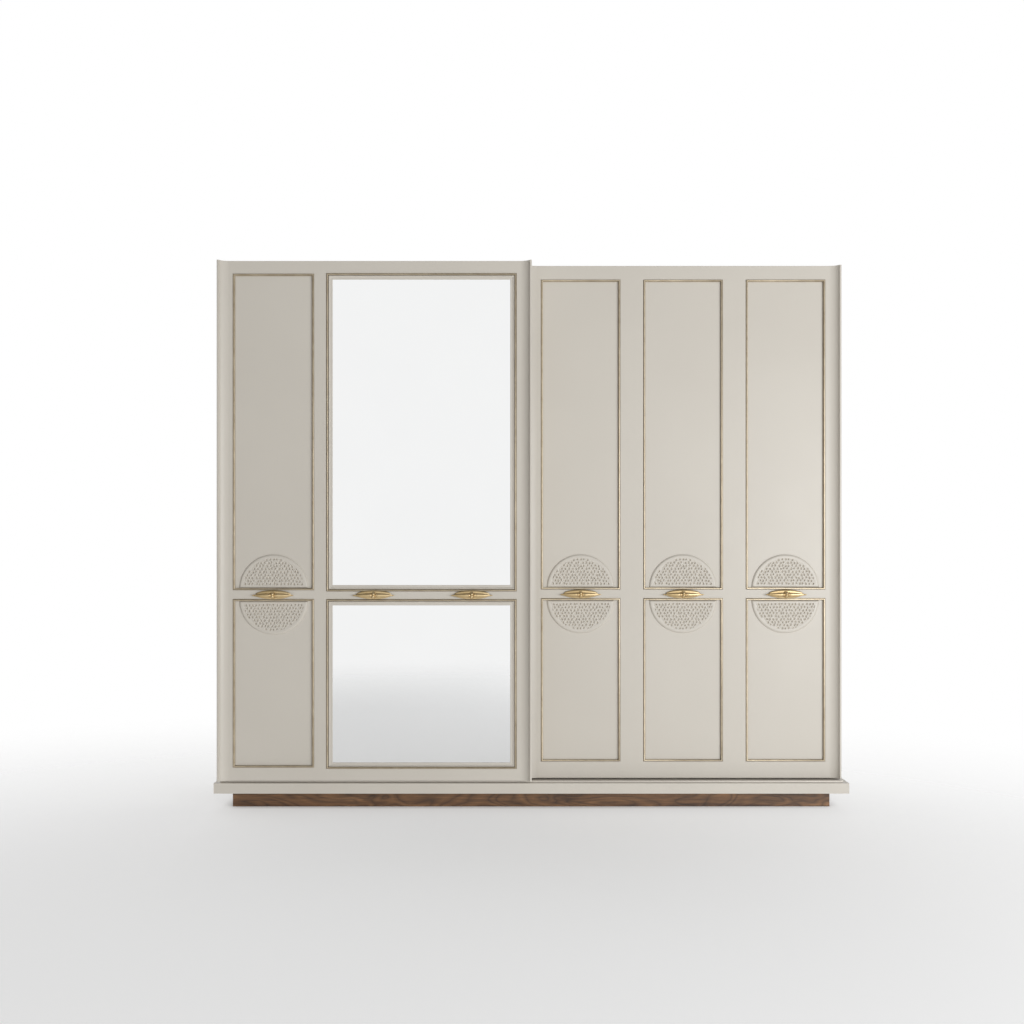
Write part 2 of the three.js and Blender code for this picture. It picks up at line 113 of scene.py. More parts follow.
# Medallion
MEDALLION_RADIUS = 138 * MM
MEDALLION_CENTRE = 5 * MM  # above or below the line of the mid rail
MEDALLION_FLOOR = 4 * MM  # from the centre to the flat edge
MEDALLION_HEIGHT = 6.0 * MM
MEDALLION_EDGE = 9 * MM
MEDALLION_RIM = 14 * MM
MEDALLION_FOOT = 18 * MM
PAD_HEIGHT = 2 * MM  # of the CAD model's plain pads on the field
PIT_SPACING = 14.0 * MM
PIT_DEPTH = 4.2 * MM
PIT_HALF_WIDTH = 2.5 * MM
PIT_HALF_HEIGHT = 4.0 * MM
PIT_JITTER = 0.18  # of the spacing

# Running gear and rods
ROLLER_TREAD = 14 * MM
ROLLER_AXLE = 4.2 * MM
ROD_TUBE = 12.5 * MM
PLATE_METAL = 4 * MM  # thickness of the hangers' and guides' plates
SCREW_RADIUS = 3.6 * MM
SCREW_CROWN = 2.3 * MM


# ---- Node helpers --------------------------------------------------------------------


class Shader:
    """A principled material and short ways to add and join its nodes."""

    def __init__(self, name, color, roughness, metallic=0.0, **sockets):
        self.material = bpy.data.materials.new(name)
        self.material.use_nodes = True
        self.tree = self.material.node_tree
        self.surface = self.tree.nodes["Principled BSDF"]
        self.surface.inputs["Base Color"].default_value = (*color, 1.0)
        self.surface.inputs["Roughness"].default_value = roughness
        self.surface.inputs["Metallic"].default_value = metallic
        for socket, value in sockets.items():
            self.surface.inputs[socket.replace("_", " ")].default_value = value

    def node(self, kind, **settings):
        made = self.tree.nodes.new("ShaderNode" + kind)
        for key, value in settings.items():
            setattr(made, key, value)
        return made

    def join(self, output, target):
        self.tree.links.new(output, target)

    def place(self, stretch=(1.0, 1.0, 1.0)):
        """Object coordinates in metres, scaled by stretch."""
        coordinates = self.node("TexCoord")
        mapping = self.node("Mapping")
        mapping.inputs["Scale"].default_value = stretch
        self.join(coordinates.outputs["Object"], mapping.inputs["Vector"])
        return mapping.outputs["Vector"]

    def noise(self, place, scale, detail=3.0, roughness=0.55, distortion=0.0):
        made = self.node("TexNoise")
        made.inputs["Scale"].default_value = scale
        made.inputs["Detail"].default_value = detail
        made.inputs["Roughness"].default_value = roughness
        made.inputs["Distortion"].default_value = distortion
        self.join(place, made.inputs["Vector"])
        return made.outputs["Fac"]

    def contours(self, factor, count):
        """A zigzag between 0 and 1 that peaks count times while factor rises by 1."""
        scaled = self.node("Math", operation="MULTIPLY")
        scaled.inputs[1].default_value = 2 * count
        self.join(factor, scaled.inputs[0])
        folded = self.node("Math", operation="PINGPONG")
        folded.inputs[1].default_value = 1.0
        self.join(scaled.outputs["Value"], folded.inputs[0])
        return folded.outputs["Value"]

    def ramp(self, factor, stops):
        """stops are (position, colour); a colour is three linear numbers or one grey."""
        made = self.node("ValToRGB")
        elements = made.color_ramp.elements
        while len(elements) < len(stops):
            elements.new(0.5)
        for element, (position, color) in zip(elements, stops):
            color = (color,) * 3 if isinstance(color, (int, float)) else color
            element.position = position
            element.color = (*color, 1.0)
        self.join(factor, made.inputs["Fac"])
        return made.outputs["Color"]

    def blend(self, factor, first, second, mode="MIX", amount=1.0):
        """Mixes two colour outputs; factor is an output, or None for a fixed amount."""
        made = self.node("MixRGB", blend_type=mode)
        made.inputs["Fac"].default_value = amount
        if factor is not None:
            self.join(factor, made.inputs["Fac"])
        self.join(first, made.inputs["Color1"])
        self.join(second, made.inputs["Color2"])
        return made.outputs["Color"]

    def crevice(self, distance, samples=4, only_local=True):
        """1 in the open and towards 0 in corners narrower than distance."""
        made = self.node("AmbientOcclusion", samples=samples, only_local=only_local)
        made.inputs["Distance"].default_value = distance
        return made.outputs["AO"]

    def color(self, output):
        self.join(output, self.surface.inputs["Base Color"])

    def roughness(self, factor, low, high):
        spread = self.node("MapRange")
        spread.inputs["To Min"].default_value = low
        spread.inputs["To Max"].default_value = high
        self.join(factor, spread.inputs["Value"])
        self.join(spread.outputs["Result"], self.surface.inputs["Roughness"])

    def bump(self, *heights):
        """heights are (output, distance in metres), laid over each other."""
        below = None
        for output, distance in heights:
            made = self.node("Bump")
            made.inputs["Distance"].default_value = distance
            self.join(output, made.inputs["Height"])
            if below is not None:
                self.join(below, made.inputs["Normal"])
            below = made.outputs["Normal"]
        self.join(below, self.surface.inputs["Normal"])


# ---- Materials -----------------------------------------------------------------------


def cream_lacquer(name, corner_shade_width, corner_shade_color, corner_shade_amount):
    """Satin cream paint, with painted shade: ambient occlusion darkens its colour in corners narrower
    than the given width.
    """
    shader = Shader(name, (0.62, 0.585, 0.52), 0.42, Coat_Weight=0.1, Coat_Roughness=0.3)
    place = shader.place()
    cloud = shader.noise(place, 1.6, detail=2.0)
    tone = shader.ramp(cloud, [(0.3, (0.598, 0.555, 0.487)), (0.7, (0.630, 0.587, 0.517))])
    painted_corner_shade = shader.ramp(shader.crevice(corner_shade_width), [(0.2, corner_shade_color), (0.85, 1.0)])
    shader.color(shader.blend(None, tone, painted_corner_shade, mode="MULTIPLY", amount=corner_shade_amount))
    shader.roughness(shader.noise(place, 9.0), 0.36, 0.48)
    orange_peel = shader.noise(place, 420.0, detail=1.0)
    brushing = shader.noise(shader.place(stretch=(60.0, 60.0, 6.0)), 6.0, detail=2.0)
    shader.bump((orange_peel, 0.03 * MM), (brushing, 0.04 * MM))
    return shader.material


def board_laminate():
    shader = Shader("board_laminate", (0.66, 0.62, 0.54), 0.55)
    place = shader.place()
    cloud = shader.noise(place, 3.0)
    shader.color(shader.ramp(cloud, [(0.3, (0.650, 0.610, 0.530)), (0.7, (0.678, 0.638, 0.558))]))
    pores = shader.noise(shader.place(stretch=(30.0, 30.0, 1.5)), 26.0, detail=4.0)
    shader.roughness(pores, 0.48, 0.66)
    shader.bump((pores, 0.12 * MM))
    return shader.material


def along_axis(axis, slow, fast):
    """A stretch that draws a pattern out along one axis: 0 is X, 1 is Y and 2 is Z."""
    stretch = [fast, fast, fast]
    stretch[axis] = slow
    return stretch


def walnut(name, axis):
    """Flat-sawn walnut with its grain along an axis and the rings' arched figure."""
    shader = Shader(name, (0.21, 0.12, 0.07), 0.45, Coat_Weight=0.08, Coat_Roughness=0.35)
    trunk = shader.noise(shader.place(along_axis(axis, 2.4, 8.0)), 1.0, detail=2.0, distortion=0.5)
    rings = shader.contours(trunk, 14.0)
    shade = shader.noise(shader.place(along_axis(axis, 1.1, 13.0)), 1.5, detail=4.0, distortion=1.6)
    dark, middle, light = (0.078, 0.035, 0.013), (0.170, 0.080, 0.030), (0.285, 0.145, 0.060)
    broad = shader.ramp(shade, [(0.30, dark), (0.52, middle), (0.74, light)])
    figure = shader.ramp(rings, [(0.0, 0.60), (0.35, 0.92), (1.0, 1.22)])
    pores = shader.noise(shader.place(along_axis(axis, 6.0, 240.0)), 3.0, detail=5.0)
    flecks = shader.ramp(pores, [(0.42, 0.55), (0.56, 1.0)])
    grain = shader.blend(None, broad, figure, mode="MULTIPLY")
    shader.color(shader.blend(None, grain, flecks, mode="MULTIPLY", amount=0.75))
    shader.roughness(pores, 0.36, 0.56)
    shader.bump((pores, 0.18 * MM), (rings, 0.08 * MM))
    return shader.material


def gilt(name, deep, bright, roughest):
    """Rubbed antique gold between two tones, with painted shade: ambient occlusion darkens it in
    corners tighter than 4 mm.
    """
    shader = Shader(name, bright, roughest, metallic=1.0)
    place = shader.place()
    rub = shader.noise(place, 24.0, detail=3.0)
    tone = shader.ramp(rub, [(0.32, deep), (0.68, bright)])
    # Painted shade: the colour darkens where ambient occlusion finds tight corners.
    painted_gilt_shade = shader.ramp(shader.crevice(4 * MM), [(0.30, (0.34, 0.26, 0.17)), (0.85, 1.0)])
    shader.color(shader.blend(None, tone, painted_gilt_shade, mode="MULTIPLY", amount=0.7))
    shader.roughness(rub, roughest - 0.06, roughest)
    shader.bump((shader.noise(place, 900.0, detail=2.0), 0.012 * MM))
    return shader.material


def silvered_glass():
    shader = Shader("silvered_glass", (0.895, 0.90, 0.90), 0.01, metallic=1.0)
    haze = shader.noise(shader.place(), 4.0, detail=4.0)
    shader.color(shader.ramp(haze, [(0.2, (0.886, 0.891, 0.891)), (0.8, (0.900, 0.905, 0.905))]))
    shader.roughness(haze, 0.004, 0.012)
    return shader.material


def satin_aluminium():
    shader = Shader("satin_aluminium", (0.66, 0.62, 0.56), 0.45, metallic=0.4)
    drawn = shader.noise(shader.place(stretch=(1.0, 900.0, 900.0)), 3.0, detail=3.0)
    shader.color(shader.ramp(drawn, [(0.3, (0.62, 0.58, 0.52)), (0.7, (0.69, 0.65, 0.59))]))
    shader.roughness(drawn, 0.38, 0.54)
    shader.bump((drawn, 0.03 * MM))
    return shader.material


def zinc_steel():
    shader = Shader("zinc_steel", (0.42, 0.43, 0.44), 0.42, metallic=1.0)
    place = shader.place()
    cloud = shader.noise(place, 70.0, detail=4.0)
    shader.color(shader.ramp(cloud, [(0.3, (0.36, 0.37, 0.38)), (0.7, (0.50, 0.51, 0.52))]))
    shader.roughness(cloud, 0.34, 0.52)
    shader.bump((shader.noise(place, 500.0), 0.04 * MM))
    return shader.material


def moulded_nylon():
    shader = Shader("moulded_nylon", (0.022, 0.022, 0.023), 0.5)
    place = shader.place()
    fine = shader.noise(place, 700.0, detail=2.0)
    cloud = shader.noise(place, 30.0)
    shader.color(shader.ramp(cloud, [(0.3, (0.018, 0.018, 0.019)), (0.7, (0.030, 0.030, 0.031))]))
    shader.roughness(fine, 0.42, 0.62)
    shader.bump((fine, 0.05 * MM))
    return shader.material


# Both lacquers carry painted shade in their corners; the carved one's is wider and stronger.
LACQUER = cream_lacquer("cream_lacquer", 4 * MM, (0.62, 0.52, 0.38), 0.35)
CARVED_LACQUER = cream_lacquer("carved_lacquer", 7 * MM, (0.50, 0.44, 0.36), 0.6)
LAMINATE = board_laminate()
WALNUT_ALONG_X = walnut("walnut_along_x", 0)
WALNUT_ALONG_Y = walnut("walnut_along_y", 1)
GILT = gilt("gilt_brass", (0.60, 0.44, 0.22), (0.80, 0.62, 0.36), 0.42)
BEAD_GILT = gilt("champagne_gilt", (0.40, 0.33, 0.235), (0.51, 0.435, 0.32), 0.42)
MIRROR = silvered_glass()
ALUMINIUM = satin_aluminium()
STEEL = zinc_steel()
NYLON = moulded_nylon()


# ---- Mesh helpers --------------------------------------------------------------------


def finish_mesh(mesh, smooth_degrees):
    for polygon in mesh.polygons:
        polygon.use_smooth = True
    mesh.set_sharp_from_angle(angle=math.radians(smooth_degrees))


def new_object(name, data, place=(0.0, 0.0, 0.0)):
    made = bpy.data.objects.new(name, data)
    bpy.context.scene.collection.objects.link(made)
    made.location = place
    return made


def add_piece(name, mesh, material, body, replaces=()):
    """A new piece that rides on a body, made of one mesh that it finishes."""
    mesh.materials.append(material)
    finish_mesh(mesh, 35)
    piece = new_object(name, mesh)
    normals = piece.modifiers.new("normals", "WEIGHTED_NORMAL")
    normals.keep_sharp = True
    normals.weight = 100
    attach(piece, body)
    if replaces:
        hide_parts(*replaces)
    return piece


def mesh_from(name, points, faces):
    mesh = bpy.data.meshes.new(name)
    mesh.from_pydata([tuple(p) for p in points], [], faces)
    mesh.update()
    return mesh


def mesh_from_bmesh(name, shape):
    bmesh.ops.recalc_face_normals(shape, faces=shape.faces)
    mesh = bpy.data.meshes.new(name)
    shape.to_mesh(mesh)
    shape.free()
    return mesh


def arc(centre, radius, start, end, steps):
    """Points round a centre, from start to end in degrees; radius is a number or a pair."""
    wide, tall = radius if isinstance(radius, tuple) else (radius, radius)
    points = []
    for i in range(steps + 1):
        angle = math.radians(start + (end - start) * i / steps)
        points.append((centre[0] + wide * math.cos(angle), centre[1] + tall * math.sin(angle)))
    return points


def rectangle(left, right, bottom, top):
    return {"left": left, "right": right, "bottom": bottom, "top": top}


def grown(rect, amount):
    """The rectangle pushed out by one amount, or by amounts named left, right, bottom, top."""
    push = amount if isinstance(amount, dict) else dict.fromkeys(rect, amount)
    return rectangle(
        rect["left"] - push["left"],
        rect["right"] + push["right"],
        rect["bottom"] - push["bottom"],
        rect["top"] + push["top"],
    )


def corners(rect, y):
    return [
        (rect["left"], y, rect["bottom"]),
        (rect["right"], y, rect["bottom"]),
        (rect["right"], y, rect["top"]),
        (rect["left"], y, rect["top"]),
    ]


def mitred_ring(name, rect, section):
    """Sweeps a closed section, points (inset, y), round a rectangle with mitred corners."""
    points = [p for inset, y in section for p in corners(grown(rect, -inset), y)]
    faces = []
    count = len(section)
    for i in range(count):
        after = (i + 1) % count
        for corner in range(4):
            following = (corner + 1) % 4
            faces.append((4 * i + corner, 4 * i + following, 4 * after + following, 4 * after + corner))
    return mesh_from(name, points, faces)


def extruded_along_z(name, section, bottom, top):
    """A solid with a section of (x, y) points, standing from bottom to top."""
    count = len(section)
    points = [(x, y, bottom) for x, y in section] + [(x, y, top) for x, y in section]
    faces = [(i, (i + 1) % count, count + (i + 1) % count, count + i) for i in range(count)]
    faces += [tuple(reversed(range(count))), tuple(range(count, 2 * count))]
    shape = bmesh.new()
    made = [shape.verts.new(p) for p in points]
    for face in faces:
        shape.faces.new([made[i] for i in face])
    return mesh_from_bmesh(name, shape)


def turned(name, profile, axis, segments=48):
    """A turned solid; profile points are (along, radius), starting and ending on the axis."""
    shape = bmesh.new()
    rings = []
    for along, radius in profile:
        ring = []
        for i in range(1 if radius == 0 else segments):
            angle = 2 * math.pi * i / segments
            across = (radius * math.cos(angle), radius * math.sin(angle))
            place = {"x": (along, *across), "y": (across[0], along, across[1])}[axis]
            ring.append(shape.verts.new(place))
        rings.append(ring)
    for before, after in zip(rings, rings[1:]):
        for i in range(segments):
            face = [before[i % len(before)], before[(i + 1) % len(before)]]
            face += [after[(i + 1) % len(after)], after[i % len(after)]]
            face = list(dict.fromkeys(face))
            if len(face) > 2:
                shape.faces.new(face)
    return mesh_from_bmesh(name, shape)


def joined(name, meshes):
    """One mesh that holds several closed shells."""
    shape = bmesh.new()
    for mesh in meshes:
        shape.from_mesh(mesh)
        bpy.data.meshes.remove(mesh)
    return mesh_from_bmesh(name, shape)


def moved(mesh, place):
    for vertex in mesh.vertices:
        vertex.co += Vector(place)
    return mesh


# ---- Places read from the CAD model ---------------------------------------------------


def span(node):
    """A node's box as a rectangle on the front, with its y range."""
    low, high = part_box(node)
    return rectangle(low.x, high.x, low.z, high.z), (low.y, high.y)


def nodes_named(*parts):
    return sorted(n for n in frame["nodes"] if all(part in n for part in parts))


def face_of(door):
    """Y of the door's front face."""
    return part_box(f"{door}_frame")[0].y


def opening_of(ring_node):
    """The face frame's opening round a trim or moulding node."""
    return grown(span(ring_node)[0], GAP)


# ---- Doors ---------------------------------------------------------------------------


def opening_levels(opening, face, back):
    """Rectangles from the eased front edge to the back of an opening in the face frame."""
    rounding = arc((0, SOFT_EDGE), SOFT_EDGE, -90, 0, 5)
    levels = [(grown(opening, SOFT_EDGE - x), face + y) for x, y in rounding]
    return levels + [(opening, back)]


def face_frame(door):
    """The stiles and rails of one door, with eased edges round every opening."""
    node = f"{door}_frame"
    outside, (face, back) = span(node)
    outside = grown(outside, {"left": GAP, "right": GAP, "bottom": 0, "top": 0})
    shape = bmesh.new()
    front_edges, back_edges = [], []

    def loft(levels, is_hole):
        loops = [[shape.verts.new(p) for p in corners(rect, y)] for rect, y in levels]
        for before, after in zip(loops, loops[1:]):
            for i in range(4):
                j = (i + 1) % 4
                quad = [before[i], before[j], after[j], after[i]]
                shape.faces.new(quad if is_hole else quad[::-1])
        for loop, edges in ((loops[0], front_edges), (loops[-1], back_edges)):
            for i in range(4):
                pair = (loop[i], loop[(i + 1) % 4])
                edges.append(shape.edges.get(pair) or shape.edges.new(pair))

    inset = {"left": 0.0, "right": 0.0, "bottom": -OUTER_EASE, "top": -OUTER_EASE}
    loft([(grown(outside, inset), face), (outside, face + OUTER_EASE), (outside, back)], False)
    for ring in nodes_named(door, "_trim_") + nodes_named(door, "_moulding_"):
        loft(opening_levels(opening_of(ring), face, back), True)
    for edges in (front_edges, back_edges):
        bmesh.ops.triangle_fill(shape, edges=edges, use_beauty=True)
    mesh = mesh_from_bmesh(f"{door}_face", shape)
    add_piece(f"{door}_face_frame", mesh, LACQUER, door, [node])


def cove(corner, wide, deep, steps=28):
    """A quarter hollow that drops beside the lip and then runs out into the face."""
    points = []
    for i in range(1, steps + 1):
        angle = math.pi / 2 * i / steps
        x = corner[0] - wide * abs(math.cos(angle)) ** COVE_SLACK
        points.append((x, corner[1] + deep * math.sin(angle) ** COVE_SLACK))
    return points


def edge_pull(door, side):
    """The coved profile along one vertical edge: a rounded lip that sweeps into the face."""
    node = f"{door}_pull_{side}"
    rect, (tip, back) = span(node)
    face = face_of(door)
    width = rect["right"] - rect["left"] + GAP
    reach = face - tip
    section = [(0, back)]
    section += arc((LIP_RADIUS, tip + LIP_RADIUS), LIP_RADIUS, 180, 270, 10)
    corner = (LIP_WIDTH - LIP_INNER_RADIUS, tip + LIP_INNER_RADIUS)
    section += arc(corner, LIP_INNER_RADIUS, 270, 345, 5)
    section += cove((width, tip), width - LIP_WIDTH, reach) + [(width, back)]
    edge = rect["left"] if side == "left" else rect["right"]
    inwards = 1 if side == "left" else -1
    section = [(edge + inwards * x, y) for x, y in section]
    mesh = extruded_along_z(f"{door}_pull_{side}_profile", section, rect["bottom"], rect["top"])
    add_piece(f"{door}_edge_pull_{side}", mesh, LACQUER, door, [node])


def bead_section(inset, base, tip, back):
    """A half-round bead from base to tip, on straight sides that run to back."""
    radii = (BEAD_WIDTH / 2, base - tip)
    crown = arc((inset + BEAD_WIDTH / 2, base), radii, 180, 360, 20)
    return [(inset, back), *crown, (inset + BEAD_WIDTH, back)]


def gilt_bead(door, node):
    rect, (tip, back) = span(node)
    section = bead_section(0.0, face_of(door) + BEAD_BASE, tip, back)
    mesh = mitred_ring(f"{node}_bead_mesh", rect, section)
    add_piece(f"{node}_bead", mesh, BEAD_GILT, door, [node])


def mirror_frame(door, node):
    """A stepped cream moulding round the mirror, with a gilt bead at its outer edge."""
    rect, (tip, back) = span(node)
    face = face_of(door)
    bead_seat = face + 4 * MM
    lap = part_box(node.replace("moulding", "mirror"))[0].y - GAP
    groove = BEAD_WIDTH + GAP
    # From the outside in: the bead's seat, a round step, a low step and the edge at the glass.
    section = [(0, bead_seat), (groove, bead_seat), (groove, face + 1.6 * MM)]
    section += arc((groove + 3.0 * MM, face + 1.6 * MM), (2.4 * MM, 4.2 * MM), 180, 300, 10)
    section += arc((groove + 9.0 * MM, face - 0.2 * MM), (3.4 * MM, 1.6 * MM), 160, 90, 6)
    section += arc((MOULDING_WIDTH - 2.4 * MM, face + 2.6 * MM), (2.4 * MM, 1.6 * MM), 270, 360, 6)
    hidden = MOULDING_WIDTH - 5 * MM
    section += [(MOULDING_WIDTH, lap), (hidden, lap), (hidden, back), (0, back)]
    mesh = mitred_ring(f"{node}_profile", rect, section)
    add_piece(f"{node}_stepped", mesh, LACQUER, door, [node])
    bead = bead_section(0.0, face + BEAD_BASE, tip, bead_seat - GAP)
    ring = mitred_ring(f"{node}_bead_mesh", rect, bead)
    add_piece(f"{node}_gilt_bead", ring, BEAD_GILT, door)


def pit_places(draw, inner_radius, floor):
    """Jittered rows of pits inside the medallion's textured half disc: x, z, sizes, angle."""
    pits = []
    row_height = PIT_SPACING * 0.87
    rows = int(inner_radius / row_height) + 1
    for row in range(rows):
        z = floor + row_height * (row + 0.35)
        offset = PIT_SPACING / 2 if row % 2 else 0.0
        columns = int(inner_radius / PIT_SPACING) + 1
        for column in range(-columns, columns + 1):
            x = column * PIT_SPACING + offset + draw.uniform(-PIT_JITTER, PIT_JITTER) * PIT_SPACING
            place_z = z + draw.uniform(-PIT_JITTER, PIT_JITTER) * row_height
            size = draw.uniform(0.8, 1.25)
            angle = draw.uniform(-0.6, 0.6)
            if math.hypot(x, place_z) < inner_radius:
                pits.append((x, place_z, PIT_HALF_WIDTH * size, PIT_HALF_HEIGHT * size, angle))
    return pits


def smooth_step(value):
    share = np.clip(value, 0.0, 1.0)
    return share * share * (3 - 2 * share)


def medallion_relief(x, z, floor, pits):
    """Height of the carving above the field: a domed rim round a pebbled half disc."""
    radius = np.hypot(x, z)
    edge = np.minimum(MEDALLION_RADIUS - radius, (z - floor) * 1.4) / MEDALLION_EDGE
    edge = np.clip(edge, 0, 1)
    dome = MEDALLION_HEIGHT * (1 - (1 - edge) ** 2.4)
    inside_rim = smooth_step((MEDALLION_RADIUS - MEDALLION_RIM - radius) / (5 * MM))
    above_foot = smooth_step((z - floor - MEDALLION_FOOT * 0.5) / (4 * MM))
    textured = inside_rim * above_foot
    pebbles = np.zeros_like(x)
    hollow = np.zeros_like(x)
    for pit_x, pit_z, wide, tall, angle in pits:
        near = np.hypot(x - pit_x, z - pit_z) < 2.2 * PIT_SPACING
        dx, dz = x[near] - pit_x, z[near] - pit_z
        across = dx * math.cos(angle) + dz * math.sin(angle)
        along = dz * math.cos(angle) - dx * math.sin(angle)
        reach = (across / wide) ** 2 + (along / tall) ** 2
        hollow[near] = np.maximum(hollow[near], np.exp(-(reach ** 1.5)))
        shoulder = np.exp(-((np.sqrt(reach) - 1.9) ** 2) / 0.4)
        pebbles[near] = np.maximum(pebbles[near], shoulder)
    carved = 0.8 * MM - 1.2 * MM * pebbles + PIT_DEPTH * hollow
    return dome - textured * carved


def medallion_mesh(name, seed):
    """A half disc on y = 0, bulging to -y, its flat edge above z = 0."""
    floor = MEDALLION_FLOOR
    reach = MEDALLION_RADIUS - MEDALLION_RIM - 2 * MM
    pits = pit_places(random.Random(seed), reach, floor + MEDALLION_FOOT * 0.6)
    columns, rows = 240, 120
    widest = math.acos(floor / MEDALLION_RADIUS)
    angles = np.linspace(-widest, widest, columns)
    x = np.repeat(MEDALLION_RADIUS * np.sin(angles), rows).reshape(columns, rows)
    top = np.sqrt(MEDALLION_RADIUS ** 2 - x ** 2)
    share = np.linspace(0.0, 1.0, rows)[None, :]
    z = floor + share * (top - floor)
    relief = medallion_relief(x, z, floor, pits)
    shape = bmesh.new()
    grid = []
    for i in range(columns):
        grid.append([shape.verts.new((x[i, j], -relief[i, j], z[i, j])) for j in range(rows)])
    for i in range(columns - 1):
        for j in range(rows - 1):
            shape.faces.new((grid[i][j], grid[i + 1][j], grid[i + 1][j + 1], grid[i][j + 1]))
    bmesh.ops.remove_doubles(shape, verts=shape.verts, dist=0.02 * MM)
    rim = [edge for edge in shape.edges if edge.is_boundary]
    skirt = bmesh.ops.extrude_edge_only(shape, edges=rim)["geom"]
    for vertex in (part for part in skirt if isinstance(part, bmesh.types.BMVert)):
        vertex.co.y = 0.1 * MM
    bmesh.ops.contextual_create(shape, geom=[e for e in shape.edges if e.is_boundary])
    return mesh_from_bmesh(name, shape)


def medallions(door, number, trim_upper, upper_mesh, lower_mesh):
    """Both half medallions of one column, on the lines where its fields meet the mid rail."""
    column, (_, back) = span(trim_upper)
    lower, _ = span(trim_upper.replace("upper", "lower"))
    centre = (column["left"] + column["right"]) / 2
    field = back + GAP
    for half, mesh, z, turn in (
        ("upper", upper_mesh, column["bottom"] - GAP + MEDALLION_CENTRE, 0.0),
        ("lower", lower_mesh, lower["top"] + GAP - MEDALLION_CENTRE, math.pi),
    ):
        piece = new_object(f"{door}_medallion_{number}_{half}", mesh, (centre, field, z))
        piece.rotation_euler = (0.0, turn, 0.0)
        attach(piece, door)
        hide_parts(f"{door}_core")


def core_board(door):
    """The door's core board, with a flat front that the carved medallions stand on."""
    node = f"{door}_core"
    rect, (pad, back) = span(node)
    front = pad + PAD_HEIGHT
    shape = bmesh.new()
    loops = []
    for level in (front, back):
        loops.append([shape.verts.new(p) for p in corners(rect, level)])
    shape.faces.new(loops[0])
    shape.faces.new(loops[1][::-1])
    for i in range(4):
        j = (i + 1) % 4
        shape.faces.new((loops[0][j], loops[0][i], loops[1][i], loops[1][j]))
    mesh = mesh_from_bmesh(f"{door}_board", shape)
    add_piece(f"{door}_core_board", mesh, LACQUER, door, [node])


def boat_plate(length, height, thick, steps=40, across=12):
    """A pointed, pillowed plate with its back on y = 0."""
    shape = bmesh.new()
    front, back = [], []
    for i in range(steps + 1):
        share = 2 * i / steps - 1
        half = height / 2 * (1 - share ** 2) ** 0.5
        x = length / 2 * share
        row = []
        for j in range(across + 1):
            side = 2 * j / across - 1
            crown = (1 - abs(side) ** 2.6) ** 0.6 * (1 - share ** 2) ** 0.25
            row.append(shape.verts.new((x, -thick * crown, half * side)))
        front.append(row)
        back.append([shape.verts.new((x, 0.0, half * (2 * j / across - 1))) for j in range(across + 1)])
    for i in range(steps):
        for j in range(across):
            shape.faces.new((front[i][j], front[i + 1][j], front[i + 1][j + 1], front[i][j + 1]))
            shape.faces.new((back[i][j], back[i][j + 1], back[i + 1][j + 1], back[i + 1][j]))
    bmesh.ops.remove_doubles(shape, verts=shape.verts, dist=0.01 * MM)
    return mesh_from_bmesh("plate", shape)


def spindle_profile(half_length, radius):
    """A cigar that tapers to beaded, pointed tips, with a collar beside the knob."""
    points = [(-half_length, 0.0)]
    tip = 9 * MM
    points += [(-half_length + 1.5 * MM, 1.1 * MM), (-half_length + tip - 4 * MM, 1.7 * MM)]
    points += arc((-half_length + tip - 1.5 * MM, 1.7 * MM), (2 * MM, 1.4 * MM), 180, 0, 6)
    body = half_length - tip
    steps = 26
    for i in range(1, steps):
        x = -body + (body - 17 * MM) * i / steps
        swell = math.sin(math.pi / 2 * (x + body) / body) ** 0.72
        points.append((x, 2.2 * MM + (radius - 2.2 * MM) * swell))
    for centre in (-14.5 * MM, -11 * MM):
        points += arc((centre, radius - 0.8 * MM), (1.5 * MM, 1.3 * MM), 180, 0, 8)
    points.append((-8 * MM, radius - 1.5 * MM))
    mirrored = [(-x, r) for x, r in reversed(points)]
    return points + mirrored


def knob_mesh(wide, deep, tall, rings=20, segments=32):
    """An upright oval with a fine waist, like two petals closed over the spindle."""
    shape = bmesh.new()
    rows = []
    for i in range(rings + 1):
        share = -1 + 2 * i / rings
        around = math.sqrt(max(0.0, 1 - abs(share) ** 2.2))
        waist = 1 - 0.16 * math.exp(-((share / 0.09) ** 2))
        count = 1 if i in (0, rings) else segments
        row = []
        for j in range(count):
            angle = 2 * math.pi * j / segments
            x = wide * around * waist * math.cos(angle)
            y = deep * around * waist * math.sin(angle)
            row.append(shape.verts.new((x, y, tall * share)))
        rows.append(row)
    for before, after in zip(rows, rows[1:]):
        for j in range(segments):
            face = [before[j % len(before)], before[(j + 1) % len(before)]]
            face += [after[(j + 1) % len(after)], after[j % len(after)]]
            face = list(dict.fromkeys(face))
            shape.faces.new(face)
    return mesh_from_bmesh("knob", shape)


def handle_mesh(size):
    """Plate, posts, spindle and knob; the posts stand on y = 0 and the knob reaches -size.y."""
    axis_y = -size.y / 2
    plate = boat_plate(size.x * PLATE_SHARE, PLATE_HEIGHT, PLATE_THICKNESS)
    moved(plate, (0, -PLATE_STANDOFF, PLATE_RAISE))
    cigar = turned("spindle", spindle_profile(size.x / 2, SPINDLE_RADIUS), "x")
    spindle = moved(cigar, (0, axis_y, 0))
    foot = [(-0.2 * MM, 0.0), (-0.2 * MM, 5.5 * MM), (-4 * MM, 4 * MM)]
    posts = []
    for x in (-POST_OFFSET, POST_OFFSET):
        profile = foot + [(axis_y, 3.2 * MM), (axis_y, 0.0)]
        posts.append(moved(turned("post", profile, "y", 24), (x, 0, 0)))
    knob = moved(knob_mesh(KNOB_HALF_WIDTH, size.y / 2, KNOB_HALF_HEIGHT), (0, axis_y, 0))
    return joined("handle", [plate, spindle, *posts, knob])


